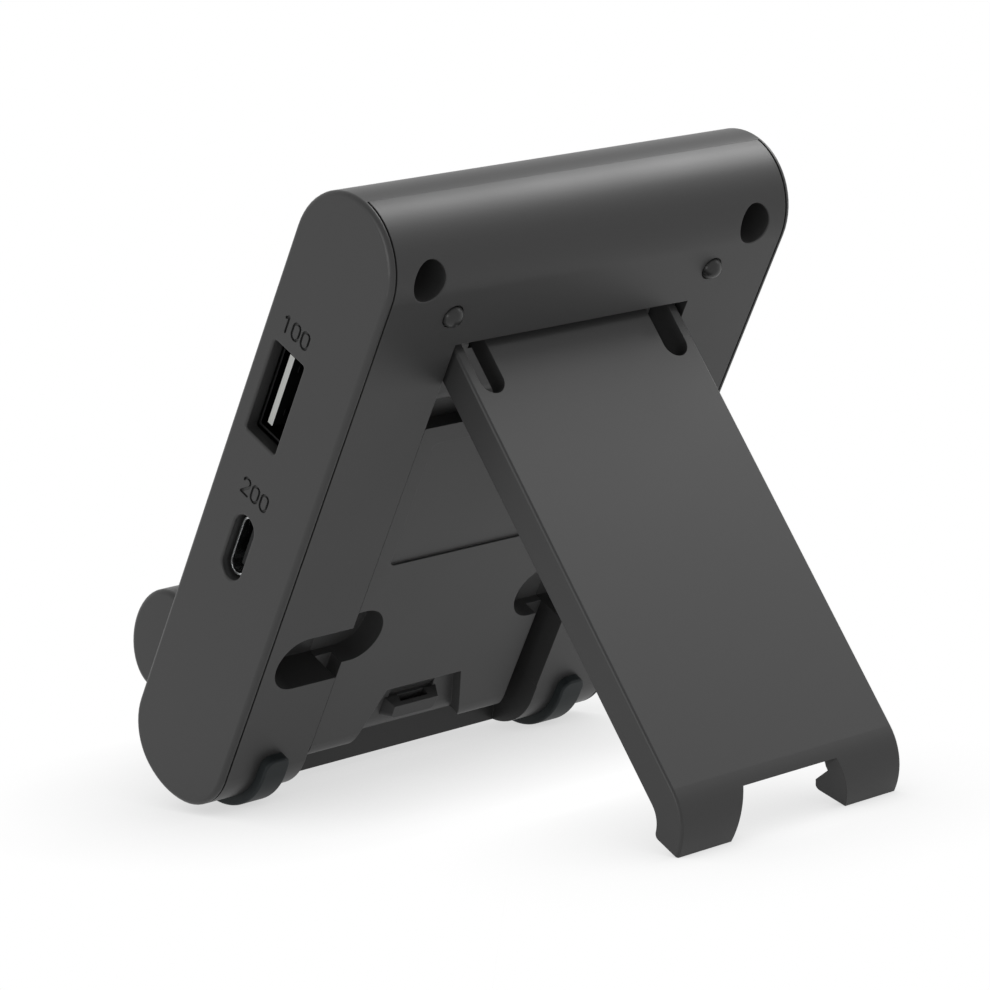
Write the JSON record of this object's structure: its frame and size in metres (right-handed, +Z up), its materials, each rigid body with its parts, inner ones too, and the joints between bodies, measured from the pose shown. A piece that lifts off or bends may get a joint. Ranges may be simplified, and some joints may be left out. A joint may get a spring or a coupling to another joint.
{
  "type": "handheld console stand",
  "caption": "Round-ended slab on a ledge with a plug for a handheld console, leaning back on a hinged leg that folds flush into its back.",
  "frame": {"origin": "on the ground, midway between the ledge's nose and the leg's feet, on the middle plane of the slab", "axes": "+X across the stand towards the end cap with the two sockets, +Y backwards to the leg, +Z up"},
  "size_m": [0.0742, 0.1054, 0.0875],
  "materials": {
    "shell": "fine texture, charcoal",
    "tray": "fine texture, dark charcoal",
    "leg": "fine texture, charcoal",
    "rubber": "smooth, matte",
    "bumper": "polished soft plastic",
    "screw": "blackened",
    "plated": "nickel plated sheet",
    "white_insulator": "moulded",
    "black_insulator": "moulded",
    "contact": "gold plated",
    "board": "solder resist",
    "cable": "film"
  },
  "bodies": {
    "stand": {"front_shell": "shell", "back_shell": "shell", "tray": "tray", "bumper_left": "bumper", "bumper_right": "bumper", "rubber_foot_left": "rubber", "rubber_foot_right": "rubber", "case_screws_upper": "screw", "case_screws_lower": "screw", "board_screws": "screw", "main_board": "board", "plug_board": "board", "data_socket_shell": "plated", "data_socket_core": "white_insulator", "data_socket_contacts": "contact", "power_socket_shell": "plated", "power_socket_core": "black_insulator", "power_socket_contacts": "contact", "plug_shell": "plated", "plug_core": "black_insulator", "plug_carrier": "shell", "flat_cable": "cable", "socket_block": "shell", "socket_contacts": "contact"},
    "leg": {"leg": "leg"}
  },
  "joints": [
    {"name": "leg", "type": "hinge", "parent": "stand", "child": "leg", "pos_m": [0, 0.01252, 0.06391], "axis": [1, 0, 0], "range_deg": [-64.7, 20]}
  ]
}
